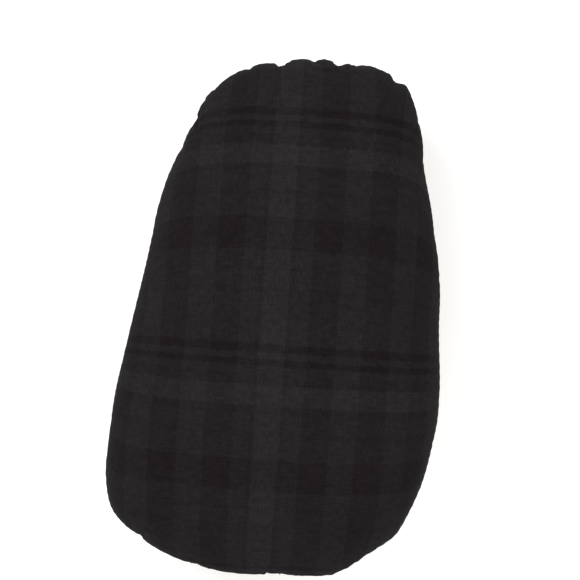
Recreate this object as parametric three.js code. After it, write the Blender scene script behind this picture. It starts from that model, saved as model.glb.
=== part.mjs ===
// A tailor's ham: a firm pressing cushion shaped like a ham, packed with sawdust.
// Two cloth covers, dark wool above and cotton below, are sewn together round the widest outline.
// Their edges turn in as seam allowances, each cover is backed by a lining, and darts shape both ends.
// Millimetres, +Z up. It lies on its cotton side: the origin is under the middle of its box, on the table.
// +Y runs along the ham to its narrow end, and the broad end is at -Y.

import * as THREE from "three";

// Plan outline, at the seam
const LENGTH = 254; // between the middles of its two ends
const MIDDLE_WIDTH = 149; // across the middle of the length
const WIDTH_TAPER = 37.5; // lost in width from the middle to the narrow tip, gained towards the broad end
const BROAD_END_SQUARENESS = 2.8; // exponent of the superellipse: 2 is an ellipse
const NARROW_END_SQUARENESS = 4.1;
const BROAD_END_LEAN = 21; // how far the broad end swings towards -X, as on a real ham
const NARROW_END_LEAN = 6; // and the narrow end towards +X
const BROAD_END_SLANT = 13.5; // skew of the broad end, before its corners are rounded: out at +X, in at -X
const END_BEND = 3; // exponent of the lean and slant: higher leaves more of the middle straight
const BROAD_EDGE_SHIFT = 16; // the slant moves the middle of the broad end's edge this far, towards +X
const NARROW_EDGE_SHIFT = 5; // and the lean moves the middle of the narrow end's edge, towards -X

// Heights above the table
const TOP_HEIGHT = 96;
const SEAM_HEIGHT = 45;
const CROWN_SHIFT = -16; // the thickest place lies this far along Y from the middle of the box
const CROWN_FULLNESS = 2.05; // exponent of the crown's section: 2 is an ellipse
const REST_PATCH_LENGTH = 86; // the flattened patch it lies on, which has the plan's outline

// Cloth, stuffing and sewing
const WOOL_THICKNESS = 1.6;
const COTTON_THICKNESS = 0.8;
const LINING_THICKNESS = 0.6;
const FILL_EDGE_RADIUS = 0.8; // how sharply the stuffing turns under the seam allowances
const SEAM_ALLOWANCE = 10; // width of the turned-in edges, from the seam fold to the cut edge
const THREAD_DIAMETER = 0.9; // doubled upholstery thread
const CLEARANCE = 0.3; // between neighbouring layers

// Darts: one at each corner of both ends, in each cover
const BROAD_DART_SETBACK = 34; // along the end, from the line of the ham's side to the dart
const NARROW_DART_SETBACK = 26.5;
const BROAD_DART_LENGTH = 52; // from the seam up to the dart's point
const NARROW_DART_LENGTH = 42;
const DART_DEPTH = 1.6; // how far the dart's seam sinks below the cloth beside it
const DART_HALF_WIDTH = 4.5;

// The gap left for stuffing, in the middle of the broad end's edge, and the hand stitches that close it
const STUFFING_GAP = 88;
const CLOSING_STITCH_PITCH = 5.5;

// Fineness of the facets
const MERIDIANS = 38; // in a turn, before the darts add theirs
const CROWN_RINGS = 9;
const FOLD_STEPS = 3;
const THREAD_SIDES = 6;
const SEAM_THREAD_STEP = 8;
const DART_THREAD_STEPS = 10;
const CLOSING_STEPS_PER_STITCH = 4;
const OUTLINE_SAMPLES = 400;

const UPPER = 1;
const LOWER = -1;
const HALF_GAP = CLEARANCE / 2; // the two covers' allowances lie face to face across the seam plane

// The cloth stack on each side: depths are measured from the outer face of the cover
const SIDES = {
  [UPPER]: { cover: WOOL_THICKNESS },
  [LOWER]: { cover: COTTON_THICKNESS },
};
for (const side of Object.values(SIDES)) {
  side.liningTop = side.cover + CLEARANCE;
  side.liningBase = side.liningTop + LINING_THICKNESS;
  side.fill = side.liningBase + CLEARANCE;
  side.roll = side.fill + FILL_EDGE_RADIUS; // outer radius of the cloth where it turns into the seam
}
const ALLOWANCE_EDGE = Math.max(SIDES[UPPER].roll, SIDES[LOWER].roll) + SEAM_ALLOWANCE;

// The plan outline as a closed curve: a superellipse that tapers along Y, with ends that lean and slant.
// It starts at the middle of the broad end and runs anticlockwise, seen from above.
class PlanOutline extends THREE.Curve {
  constructor() {
    super();
    this.arcLengthDivisions = OUTLINE_SAMPLES;
    this.centre = new THREE.Vector3();
    const box = new THREE.Box3().setFromPoints(this.getPoints(OUTLINE_SAMPLES));
    box.getCenter(this.centre);
  }

  getPoint(t, target = new THREE.Vector3()) {
    const angle = 2 * Math.PI * t - Math.PI / 2;
    const squareness = Math.sin(angle) < 0 ? BROAD_END_SQUARENESS : NARROW_END_SQUARENESS;
    const rounded = (value) => Math.sign(value) * Math.abs(value) ** (2 / squareness);
    const along = rounded(Math.sin(angle));
    const across = rounded(Math.cos(angle));
    const width = MIDDLE_WIDTH - WIDTH_TAPER * along;
    const lean = along < 0 ? -BROAD_END_LEAN : NARROW_END_LEAN;
    const slant = along < 0 ? -BROAD_END_SLANT * across : 0;
    const bend = Math.abs(along) ** END_BEND; // nothing at the middle, all of it at the tips
    target.set((width / 2) * across + lean * bend, (LENGTH / 2) * along + slant * bend, 0);
    return target.sub(this.centre);
  }
}

const outline = new PlanOutline();
const PERIMETER = outline.getLength();

// A distance along the outline, from the middle of the broad end, as the curve's own parameter.
function outlineParameter(distance) {
  return outline.getUtoTmapping(THREE.MathUtils.euclideanModulo(distance / PERIMETER, 1));
}

// A place on the outline: its point and its outward normal.
function stationAt(parameter) {
  const tangent = outline.getTangent(parameter);
  return { point: outline.getPoint(parameter), normal: new THREE.Vector3(tangent.y, -tangent.x, 0) };
}

// The middles of both ends' edges, and how far their darts lie from there, along the outline
const BROAD_EDGE_MIDDLE = BROAD_EDGE_SHIFT;
const NARROW_EDGE_MIDDLE = PERIMETER / 2 + NARROW_EDGE_SHIFT;
const BROAD_DART_SPREAD = (MIDDLE_WIDTH + WIDTH_TAPER) / 2 - BROAD_DART_SETBACK;
const NARROW_DART_SPREAD = (MIDDLE_WIDTH - WIDTH_TAPER) / 2 - NARROW_DART_SETBACK;

const DARTS = [
  { name: "broad_right", distance: BROAD_EDGE_MIDDLE + BROAD_DART_SPREAD, length: BROAD_DART_LENGTH },
  { name: "narrow_right", distance: NARROW_EDGE_MIDDLE - NARROW_DART_SPREAD, length: NARROW_DART_LENGTH },
  { name: "narrow_left", distance: NARROW_EDGE_MIDDLE + NARROW_DART_SPREAD, length: NARROW_DART_LENGTH },
  { name: "broad_left", distance: BROAD_EDGE_MIDDLE - BROAD_DART_SPREAD, length: BROAD_DART_LENGTH },
];

// The meridians that carry every surface: three at each dart, and others between the darts.
// Even steps of the curve's parameter put most of them where the outline turns.
function makeStations() {
  const stations = [];
  DARTS.forEach((dart, index) => {
    const next = DARTS[(index + 1) % DARTS.length];
    const start = outlineParameter(dart.distance + DART_HALF_WIDTH);
    const end = outlineParameter(next.distance - DART_HALF_WIDTH);
    const span = THREE.MathUtils.euclideanModulo(end - start, 1);
    const count = Math.max(1, Math.round(span * MERIDIANS));
    stations.push({ ...stationAt(outlineParameter(dart.distance)), dart });
    for (let step = 0; step <= count; step += 1) {
      stations.push(stationAt(THREE.MathUtils.euclideanModulo(start + (span * step) / count, 1)));
    }
  });
  return stations;
}

const stations = makeStations();
const apex = new THREE.Vector3(0, CROWN_SHIFT, 0);
const seamCentre = new THREE.Vector3(0, CROWN_SHIFT, SEAM_HEIGHT);

// The point of a ring on one meridian: drawn in from the outline, then scaled about the crown's axis.
function ringPoint(station, ring) {
  const point = station.point.clone().addScaledVector(station.normal, -ring.inset);
  point.sub(apex).multiplyScalar(ring.scale).add(apex);
  return point.setZ(ring.height);
}

// The rings of one face of the cloth stack, from the crown to the cut edge of the seam allowance.
// The depth is measured from the outer face of the cover, so neighbouring layers stay parallel.
function faceRings(side, depth, edgeInset) {
  const { roll } = SIDES[side];
  const rimHeight = SEAM_HEIGHT + side * (HALF_GAP + roll);
  const crownHeight = side === UPPER ? TOP_HEIGHT - depth : depth;
  const flatShare = side === UPPER ? 0 : REST_PATCH_LENGTH / LENGTH;
  const rings = [];
  for (let step = CROWN_RINGS; step >= 0; step -= 1) {
    const angle = (step / CROWN_RINGS) * (Math.PI / 2);
    const scale = flatShare + (1 - flatShare) * Math.cos(angle) ** (2 / CROWN_FULLNESS);
    const rise = Math.sin(angle) ** (2 / CROWN_FULLNESS);
    const height = THREE.MathUtils.lerp(rimHeight, crownHeight, rise);
    if (scale > 1e-6) rings.push({ inset: depth, scale, height });
  }
  const turn = roll - depth;
  for (let step = 1; step <= FOLD_STEPS; step += 1) {
    const angle = (step / FOLD_STEPS) * (Math.PI / 2);
    const inset = roll - turn * Math.cos(angle);
    rings.push({ inset, scale: 1, height: rimHeight - side * turn * Math.sin(angle) });
  }
  rings.push({ inset: edgeInset, scale: 1, height: SEAM_HEIGHT + side * (HALF_GAP + depth) });
  return rings;
}

// Where the crown meets the fold, in a list of rings that ends with the fold and the cut edge.
function rimIndex(rings) {
  return rings.length - FOLD_STEPS - 2;
}

// How far each ring of a dart's meridian sinks: deepest at the seam, nothing at the dart's point.
function dartSinks(side, station) {
  const rings = faceRings(side, 0, ALLOWANCE_EDGE);
  const points = rings.map((ring) => ringPoint(station, ring));
  const sinks = rings.map(() => DART_DEPTH);
  let travelled = 0;
  for (let index = rimIndex(rings) - 1; index >= 0; index -= 1) {
    travelled += points[index].distanceTo(points[index + 1]);
    sinks[index] = DART_DEPTH * Math.max(0, 1 - travelled / station.dart.length);
  }
  sinks[rings.length - 1] = 0;
  return sinks;
}

// One face of the stack as rings of points, with the darts pressed in towards the middle of the ham.
function facePoints(side, depth, edgeInset = ALLOWANCE_EDGE) {
  const rings = faceRings(side, depth, edgeInset);
  const columns = stations.map((station) => {
    const sinks = station.dart ? dartSinks(side, station) : null;
    return rings.map((ring, index) => {
      const point = ringPoint(station, ring);
      if (!sinks) return point;
      const inward = seamCentre.clone().sub(point).normalize();
      return point.addScaledVector(inward, sinks[index]);
    });
  });
  return rings.map((ring, index) => columns.map((column) => column[index]));
}

// A closed body lofted through rings of points, from an upper pole to a lower pole.
function loft(upperPole, rings, lowerPole) {
  const count = rings[0].length;
  const vertices = [upperPole, ...rings.flat(), lowerPole];
  const last = vertices.length - 1;
  const faces = [];
  const at = (ring, column) => 1 + ring * count + (column % count);
  for (let column = 0; column < count; column += 1) {
    faces.push(0, at(0, column), at(0, column + 1));
    for (let ring = 0; ring + 1 < rings.length; ring += 1) {
      const here = [at(ring, column), at(ring, column + 1)];
      const below = [at(ring + 1, column), at(ring + 1, column + 1)];
      faces.push(here[0], below[0], below[1], here[0], below[1], here[1]);
    }
    faces.push(at(rings.length - 1, column), last, at(rings.length - 1, column + 1));
  }
  const geometry = new THREE.BufferGeometry().setFromPoints(vertices);
  geometry.setIndex(faces);
  geometry.computeVertexNormals();
  return geometry;
}

function pole(side, depth) {
  return apex.clone().setZ(side === UPPER ? TOP_HEIGHT - depth : depth);
}

// A cloth layer: its outer face, round the cut edge of its allowance, and back along its inner face.
function clothLayer(side, outerDepth, innerDepth) {
  const outer = facePoints(side, outerDepth);
  const inner = facePoints(side, innerDepth);
  if (side === UPPER) {
    return loft(pole(side, outerDepth), [...outer, ...inner.reverse()], pole(side, innerDepth));
  }
  return loft(pole(side, innerDepth), [...inner, ...outer.reverse()], pole(side, outerDepth));
}

// The sawdust: it fills both linings, with a groove round it that holds the seam allowances.
function packedFill() {
  const edge = ALLOWANCE_EDGE + CLEARANCE;
  const upper = facePoints(UPPER, SIDES[UPPER].fill, edge);
  const lower = facePoints(LOWER, SIDES[LOWER].fill, edge);
  const top = pole(UPPER, SIDES[UPPER].fill);
  return loft(top, [...upper, ...lower.reverse()], pole(LOWER, SIDES[LOWER].fill));
}

// How far in from the outline a thread can lie in the valley between the two cloth folds.
function threadInset(height) {
  const reach = THREAD_DIAMETER / 2 + CLEARANCE;
  const insets = [UPPER, LOWER].map((side) => {
    const { roll } = SIDES[side];
    const rise = roll + HALF_GAP - side * height;
    return roll - Math.sqrt(Math.max(0, (roll + reach) ** 2 - rise ** 2));
  });
  return Math.min(...insets);
}

// A line of sewing in the seam's valley, between two distances along the outline.
class SeamLine extends THREE.Curve {
  constructor(from, to, heightAt) {
    super();
    this.from = from;
    this.to = to;
    this.heightAt = heightAt;
    this.arcLengthDivisions = OUTLINE_SAMPLES;
  }

  getPoint(t, target = new THREE.Vector3()) {
    const station = stationAt(outlineParameter(THREE.MathUtils.lerp(this.from, this.to, t)));
    const height = this.heightAt(t);
    target.copy(station.point).addScaledVector(station.normal, -threadInset(height));
    return target.setZ(SEAM_HEIGHT + height);
  }
}

function threadAlong(path, steps) {
  const corners = Array.from({ length: THREAD_SIDES }, (_, index) => {
    const angle = (index / THREAD_SIDES) * 2 * Math.PI;
    return new THREE.Vector2(Math.cos(angle), Math.sin(angle)).multiplyScalar(THREAD_DIAMETER / 2);
  });
  return new THREE.ExtrudeGeometry(new THREE.Shape(corners), { steps, extrudePath: path });
}

// The machine seam runs right round, apart from the gap that was left for stuffing.
function perimeterSeam() {
  const from = BROAD_EDGE_MIDDLE + STUFFING_GAP / 2;
  const to = BROAD_EDGE_MIDDLE + PERIMETER - STUFFING_GAP / 2;
  return threadAlong(new SeamLine(from, to, () => 0), Math.round((to - from) / SEAM_THREAD_STEP));
}

// Hand-sewn ladder stitches close the gap: the thread crosses from fold to fold along the valley.
function closingSeam() {
  const run = STUFFING_GAP - 2 * (THREAD_DIAMETER + CLEARANCE);
  const stitches = Math.max(1, Math.round(run / CLOSING_STITCH_PITCH));
  const swing = THREAD_DIAMETER;
  const wave = (t) => swing * Math.sin(Math.PI * stitches * t);
  const line = new SeamLine(BROAD_EDGE_MIDDLE - run / 2, BROAD_EDGE_MIDDLE + run / 2, wave);
  return threadAlong(line, stitches * CLOSING_STEPS_PER_STITCH);
}

// The stitching of one dart lies along the bottom of its valley, and stops at the dart's point.
function dartSeam(side, station) {
  const rings = faceRings(side, 0, ALLOWANCE_EDGE);
  const sinks = dartSinks(side, station);
  const slope = Math.atan2(DART_DEPTH, DART_HALF_WIDTH);
  const lift = (THREAD_DIAMETER / 2 + CLEARANCE) / Math.cos(slope);
  const course = [];
  for (let index = rimIndex(rings); index >= 0 && sinks[index] > 0; index -= 1) {
    const point = ringPoint(station, rings[index]);
    const inward = seamCentre.clone().sub(point).normalize();
    course.push(point.addScaledVector(inward, sinks[index] - lift));
  }
  return threadAlong(new THREE.CatmullRomCurve3(course), DART_THREAD_STEPS);
}

// Materials
const wool = new THREE.MeshStandardMaterial({ color: 0x252223, roughness: 0.95, metalness: 0 });
const cotton = new THREE.MeshStandardMaterial({ color: 0xddd3c0, roughness: 0.9, metalness: 0 });
const lining = new THREE.MeshStandardMaterial({ color: 0xcfc4ad, roughness: 0.9, metalness: 0 });
const sawdust = new THREE.MeshStandardMaterial({ color: 0xb98d5a, roughness: 1, metalness: 0 });
const darkThread = new THREE.MeshStandardMaterial({ color: 0x1d1b1c, roughness: 0.7, metalness: 0 });
const paleThread = new THREE.MeshStandardMaterial({ color: 0xe2dac8, roughness: 0.7, metalness: 0 });

const ham = new THREE.Group();

function addPiece(name, geometry, material) {
  const mesh = new THREE.Mesh(geometry, material);
  mesh.name = name;
  ham.add(mesh);
}

// Cloth and stuffing
addPiece("wool_cover", clothLayer(UPPER, 0, SIDES[UPPER].cover), wool);
addPiece("cotton_cover", clothLayer(LOWER, 0, SIDES[LOWER].cover), cotton);
addPiece("wool_side_lining", clothLayer(UPPER, SIDES[UPPER].liningTop, SIDES[UPPER].liningBase), lining);
addPiece("cotton_side_lining", clothLayer(LOWER, SIDES[LOWER].liningTop, SIDES[LOWER].liningBase), lining);
addPiece("sawdust_fill", packedFill(), sawdust);

// Sewing
addPiece("perimeter_seam_thread", perimeterSeam(), darkThread);
addPiece("closing_thread", closingSeam(), darkThread);
for (const station of stations.filter((each) => each.dart)) {
  addPiece(`wool_dart_thread_${station.dart.name}`, dartSeam(UPPER, station), darkThread);
  addPiece(`cotton_dart_thread_${station.dart.name}`, dartSeam(LOWER, station), paleThread);
}

export default ham;
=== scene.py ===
"""A tailor's ham lying on its cotton side: dark checked wool above, natural cotton below.

Lengths are in metres. A cloth simulation blows the two covers up between their seams, and the form
that it gives carries the covers, the linings behind them, the sawdust and every stitch.
"""

import math
from typing import NamedTuple

import bpy
import numpy as np
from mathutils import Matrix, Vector


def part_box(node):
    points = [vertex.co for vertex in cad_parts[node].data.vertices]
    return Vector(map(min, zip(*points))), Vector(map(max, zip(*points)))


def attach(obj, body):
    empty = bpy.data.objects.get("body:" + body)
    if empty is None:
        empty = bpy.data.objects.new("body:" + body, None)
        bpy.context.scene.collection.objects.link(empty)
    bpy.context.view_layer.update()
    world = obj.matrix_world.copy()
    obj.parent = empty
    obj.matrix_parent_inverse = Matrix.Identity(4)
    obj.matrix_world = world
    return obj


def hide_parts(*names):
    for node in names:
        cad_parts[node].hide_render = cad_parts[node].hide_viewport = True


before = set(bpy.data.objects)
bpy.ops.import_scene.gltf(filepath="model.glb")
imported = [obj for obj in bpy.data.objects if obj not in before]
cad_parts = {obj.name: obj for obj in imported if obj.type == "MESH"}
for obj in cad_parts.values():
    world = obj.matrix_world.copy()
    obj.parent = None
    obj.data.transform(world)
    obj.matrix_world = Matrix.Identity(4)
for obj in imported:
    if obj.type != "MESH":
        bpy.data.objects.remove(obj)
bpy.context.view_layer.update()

MM = 0.001
TINY = 1e-9

# The two sides of the ham, and what covers and sews each
UPPER = 1
LOWER = -1
SIDES = (UPPER, LOWER)
COVER_NAME = {UPPER: "wool", LOWER: "cotton"}
COVER_SLOT = {UPPER: "wool_check", LOWER: "cotton"}
DART_THREAD_SLOT = {UPPER: "dark_thread", LOWER: "pale_thread"}

# Plan outline at the seam: a tapering superellipse whose ends lean and slant
LENGTH = 254 * MM
MIDDLE_WIDTH = 149 * MM
WIDTH_TAPER = 37.5 * MM
BROAD_END_SQUARENESS = 2.8
NARROW_END_SQUARENESS = 4.1
BROAD_END_LEAN = 21 * MM
NARROW_END_LEAN = 6 * MM
BROAD_END_SLANT = 13.5 * MM
END_BEND = 3
OUTLINE_SAMPLES = 20001
TANGENT_STEP = 0.5 * MM

# Middles of the end edges: along the outline from its start, and from half way round it
BROAD_EDGE_MIDDLE = 16 * MM
NARROW_EDGE_SHIFT = 5 * MM

# Where packed sawdust pushes the outline out, or cloth draws it in, all in millimetres:
# the distance along it from its start in the broad end, the half length of the place, and how far out
UNEVEN_PLACES = [
    (30, 20, -2.9), (56, 9, 0.9), (75, 10, -0.7), (93, 10, 1.1), (136, 18, -0.8), (222, 22, 2.0),
    (277, 16, -1.9), (300, 7, -0.6), (320, 5, 1.4), (391, 10, -2.0), (404, 7, -0.6), (426, 11, 1.2),
    (479, 22, 1.6), (600, 16, -0.8), (636, 9, 0.8), (657, 13, -1.2), (697, 9, 0.7),
]

# How soon the unevenness dies away from the seam to the crown: a power of the ring's scale
UNEVEN_FADE = 3

# Creases that the gathered seam draws into the narrow end, all in millimetres: the distance along the
# outline, the half width, the depth, negative where cloth stands out, and the length up from the seam
GATHERS = [
    (324, 4.0, 1.3, 34), (354.5, 3.2, 1.3, 27), (360, 4.5, -1.3, 22), (366, 3.0, 0.5, 20),
    (383, 5.5, 2.4, 40), (400.5, 4.0, 1.0, 30),
]

# Heights above the table
TOP_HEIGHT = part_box("wool_cover")[1].z
SEAM_HEIGHT = sum(corner.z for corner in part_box("perimeter_seam_thread")) / 2
CROWN_SHIFT = -16 * MM
CROWN_FULLNESS = 2.05
REST_PATCH_LENGTH = 86 * MM
REST_PATCH_RINGS = 5

# Cloth and stuffing: depths are measured from the outer face of the cover
SEAM_GAP = 0.3 * MM
HALF_GAP = SEAM_GAP / 2
LAYER_GAP = 0.55 * MM
LINING_THICKNESS = 0.6 * MM
COVER_THICKNESS = {UPPER: 1.6 * MM, LOWER: 0.8 * MM}
LINING_DEPTH = {side: thick + LAYER_GAP for side, thick in COVER_THICKNESS.items()}
FILL_DEPTH = {side: depth + LINING_THICKNESS + LAYER_GAP for side, depth in LINING_DEPTH.items()}
FILL_EDGE_RADIUS = 0.3 * MM
ROLL = {side: depth + FILL_EDGE_RADIUS for side, depth in FILL_DEPTH.items()}
SEAM_ALLOWANCE = 10 * MM
ALLOWANCE_EDGE = max(ROLL.values()) + SEAM_ALLOWANCE
GROOVE_EDGE = ALLOWANCE_EDGE + LAYER_GAP

# Darts: a valley in all layers, and in the cover a crease as deep as a share of its thickness
BROAD_DART_SETBACK = 34 * MM
NARROW_DART_SETBACK = 26.5 * MM
BROAD_DART_LENGTH = 52 * MM
NARROW_DART_LENGTH = 42 * MM
DART_SINK = 0.5 * MM
DART_HALF_WIDTH = 2.5 * MM
CREASE_SHARE = 0.45
CREASE_HALF_WIDTH = 1.2 * MM
CREASE_FADE = 12 * MM
CREASE_RIM_SHARE = 0.3
LINE_TAPER = 1.4

# The hand-sewn gap in the middle of the broad end
STUFFING_GAP = 88 * MM
CLOSING_STITCH_PITCH = 5.5 * MM

# Grids: the simulated one, how much finer the covers are, and the fewer rings of their inner faces
SIM_STATIONS = 320
SIM_DOME_RINGS = 34
SIM_FOLD_RINGS = 3
STATION_FINENESS = 3
RING_FINENESS = 2
INNER_DOME_RINGS = 19
INNER_CROWDING = 1.7
DOME_SAMPLES = 2000
FIRST_RING_SHARE = 0.6

# Soft noise: sums of waves, some longer and some shorter than the size asked for
NOISE_WAVES = 24
NOISE_WAVE_RANGE = (0.6, 1.4)

# Where the cloth is too long for the seam: round the ends, and in patches
END_SLACK = 0.09
BROAD_END_SLACK_SHARE = 0.35
SLACK_REACH = 30 * MM
SLACK_FADE = 1.3
SLACK_END_START = 0.6
SLACK_END_RAMP = 0.35
SLACK_MEAN = 0.75
SLACK_SPREAD = 0.4
SLACK_PATCH = 28 * MM
SLACK_SEED = 3

# Cloth simulation
SIM_FRAMES = 24
START_RIPPLE = 0.25 * MM
RIPPLE_LENGTH = 21 * MM
RIPPLE_SEED = 17
HELD_CROWN_RINGS = 9
HELD_LINE_SHARE = 0.7
MOST_SWELL = 3.5 * MM
EVEN_REACH = 16 * MM
CLOTH_SETTINGS = {
    "quality": 5,
    "mass": 0.0005,
    "tension_stiffness": 30,
    "compression_stiffness": 20,
    "shear_stiffness": 8,
    "bending_stiffness": 0.5,
    "use_pressure": True,
    "uniform_pressure_force": 80,
    "vertex_group_mass": "held",
    "vertex_group_shrink": "taut",
    "shrink_min": -END_SLACK,
    "shrink_max": 0,
}

# Lumps of sawdust under the cloth, small puckers at the stitches, and the easing of hidden layers
LUMP_HEIGHT = 0.45 * MM
LUMP_SIZE = 36 * MM
LUMP_FADE = 12 * MM
LUMP_SEED = 11
PUCKER_DEPTH = 0.16 * MM
PUCKER_PITCH = 4.5 * MM
PUCKER_REACH = 6 * MM
PUCKER_WANDER_LENGTH = 25 * MM
PUCKER_SEED = 5
EASING_STEPS = 3

# Threads
THREAD_RADIUS = 0.24 * MM
STITCH_PITCH = 3 * MM
STITCH_SWAY = 0.24 * MM
VALLEY_WIDTH = 0.9 * MM
VALLEY_SMOOTHING = 4
CLOSING_BITE = 1.2 * MM
CLOSING_SINK = 0.4 * MM
DART_THREAD_SINK = 0.1 * MM
TUBE_SIDES = 8
TUBE_START = (0.3, 0.2, 0.9)
STEPS_PER_STITCH = 10

# The map that the finishes can be painted on: a large panel and a small one
BAKE_MARGIN = 0.01
BAKE_SMALL = 0.24

# Weaves: how many yarns each one passes over and under
TWILL = (2, 2)
DRILL = (2, 1)
PLAIN_WEAVE = (1, 1)

# Wool: yarns, the raised nap that blends them, and the tones and lint in it
WOOL_YARN_PITCH = 0.5 * MM
BRUSHING = 0.75
FRAY_SIZE = 0.7 * MM
FRAY_REACH = 1.5 * MM
WOOL_TONES = {
    "nap": {"size": 0.5 * MM, "stretch": (1, 7, 1), "dark": 0.76, "light": 1.25, "spread": 0.25},
    "streaks": {"size": 0.6 * MM, "stretch": (14, 1, 1), "dark": 0.8, "light": 1.21, "spread": 0.25},
    "shading": {"size": 28 * MM, "dark": 0.93, "light": 1.08},
    "felting": {"size": 3.2 * MM, "detail": 3, "dark": 0.88, "light": 1.13},
}
# Painted shade in the valleys between the wool's yarns, and a little painted light on their tops
WOOL_VALLEY_PAINTED_SHADE = (0.86, 1.06)
LINT = {"size": 0.7 * MM, "stretch": (1, 4, 1), "detail": 0, "limit": 0.84, "strength": 0.22}
LINT_COLOUR = (0.06, 0.056, 0.057, 1)
FUZZ = {"size": 0.35 * MM, "detail": 3}
WOOL_YARN_SHARE = 0.4
WOOL_RELIEF = 0.16 * MM
WOOL_SHEEN_TINT = (0.75, 0.73, 0.74, 1)

# The check: the yarns' shades, then shades and widths in millimetres of one repeat of the stripes,
# from the middle of a broad black stripe
JET = (0.0098, 0.0073, 0.0079)
BLACK = (0.0129, 0.0102, 0.0109)
DARK = (0.0160, 0.0134, 0.0142)
MIDDLE = (0.0177, 0.0156, 0.0164)
LIGHT = (0.0232, 0.0214, 0.0225)
WARP_STRIPES = [
    (BLACK, 7.5), (MIDDLE, 13), (BLACK, 14), (MIDDLE, 8), (DARK, 2.5), (LIGHT, 12),
    (DARK, 2.5), (MIDDLE, 8), (BLACK, 14), (MIDDLE, 13), (BLACK, 7.5),
]
WEFT_STRIPES = [
    (BLACK, 8), (MIDDLE, 11), (DARK, 2.5), (MIDDLE, 8.5), (DARK, 4), (LIGHT, 10), (DARK, 5.5),
    (MIDDLE, 3.8), (JET, 3.3), (MIDDLE, 3.2), (JET, 3.8),
    (MIDDLE, 24), (DARK, 3), (MIDDLE, 8.4), (DARK, 2), (MIDDLE, 8), (BLACK, 8),
]
WARP_ORIGIN = -55.5 * MM
WEFT_ORIGIN = -75.9 * MM
CHECK_TURN = math.radians(1.6)

# Cotton and the linings: yarns, their slubs and flecks of seed, with tones by the place on a ramp
COTTON_YARN_PITCH = 0.5 * MM
COTTON_SLUB = 0.5 * MM
COTTON_TONES = [(0.3, (0.645, 0.567, 0.432)), (0.5, (0.70, 0.625, 0.49)), (0.72, (0.742, 0.67, 0.54))]
COTTON_SHADING = {"size": 30 * MM, "dark": 0.95, "light": 1.04}
# Painted shade in the valleys between the cotton's yarns, and a little painted light on their tops
COTTON_VALLEY_PAINTED_SHADE = (0.8, 1.05)
FLECKS = {"size": 1.6 * MM, "stretch": (1, 1.6, 1), "detail": 1, "limit": 0.77, "strength": 0.55}
FLECK_COLOUR = (0.22, 0.13, 0.06, 1)
COTTON_SLUB_SHARE = 0.3
COTTON_RELIEF = 0.11 * MM
LINING_YARN_PITCH = 0.4 * MM
LINING_SLUB = 0.4 * MM
LINING_TONES = [(0.3, (0.54, 0.47, 0.35)), (0.7, (0.68, 0.61, 0.48))]
LINING_RELIEF = 0.08 * MM
ALONG_WARP = (1, 9, 1)
ALONG_WEFT = (9, 1, 1)

# Sawdust and threads
GRAIN_SIZE = 1.3 * MM
SAWDUST_TONES = [(0.0, (0.30, 0.15, 0.05)), (0.5, (0.48, 0.28, 0.11)), (1.0, (0.64, 0.42, 0.20))]
SAWDUST_SHADING = {"size": 9 * MM, "dark": 0.85, "light": 1.1}
SAWDUST_RELIEF = 0.5 * MM
PLIES = 3
PLY_SLANT = 1.5
PLY_RELIEF = 0.06 * MM
# Painted shade: along a ply's height, a thread keeps its groove colour up to the first share and its top
# colour from the second
PLY_GROOVE_SHADE_AT = 0.1
PLY_LIGHT_AT = 0.7
# Each thread's colour in the grooves between its plies, darker as painted shade, its colour on their
# tops, and its gloss
THREADS = {
    "dark_thread": {"dark": (0.004, 0.0035, 0.0038), "light": (0.012, 0.0105, 0.011), "gloss": 0.08},
    "pale_thread": {"dark": (0.55, 0.48, 0.37), "light": (0.78, 0.72, 0.60), "gloss": 0.35},
}

# The photograph's view: straight down, turned a little, with the outline's middle at one pixel
PHOTO_SIZE = 580
PIXELS_PER_METRE = 2027.1
PHOTO_TURN = math.radians(5.5)
OUTLINE_MIDDLE_PIXEL = (287.2, 317.0)
CAMERA_DISTANCE = 1.5
SENSOR_WIDTH = 36

# Table and light: each lamp has its name, place, size and strength
TABLE_SIZE = 4
FLOOR_COLOUR = (0.8, 0.8, 0.8)
FLOOR_MOTTLE = {"size": 60 * MM, "dark": 0.985, "light": 1.0}
FLOOR_LIFT = 0.42
SKY_STRENGTH = 0.45
LAMPS = [
    ("key_lamp", (-0.9, 0.7, 1.4), 0.9, 17.5),
    ("fill_lamp", (1.1, 0.2, 1.3), 1.0, 7.5),
    ("end_lamp", (0.1, -1.2, 1.2), 0.9, 6.5),
]


# The outline

def outline_points(parameter):
    """The plan outline before it is centred, anticlockwise from the middle of the broad end."""
    angle = 2 * np.pi * parameter - np.pi / 2
    sine = np.sin(angle)
    cosine = np.cos(angle)
    power = 2 / np.where(sine < 0, BROAD_END_SQUARENESS, NARROW_END_SQUARENESS)
    along = np.sign(sine) * np.abs(sine) ** power
    across = np.sign(cosine) * np.abs(cosine) ** power
    width = MIDDLE_WIDTH - WIDTH_TAPER * along
    bend = np.abs(along) ** END_BEND
    lean = np.where(along < 0, -BROAD_END_LEAN, NARROW_END_LEAN)
    slant = np.where(along < 0, -BROAD_END_SLANT * across, 0)
    return np.stack([width / 2 * across + lean * bend, LENGTH / 2 * along + slant * bend], axis=-1)


def path_run(points):
    """How far along a line each of its points lies."""
    return np.concatenate([[0], np.cumsum(np.linalg.norm(np.diff(points, axis=0), axis=1))])


def along_path(wanted, run, values):
    """What a line's values are at the wanted distances along it."""
    return np.stack([np.interp(wanted, run, part) for part in values.T], axis=-1)


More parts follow.
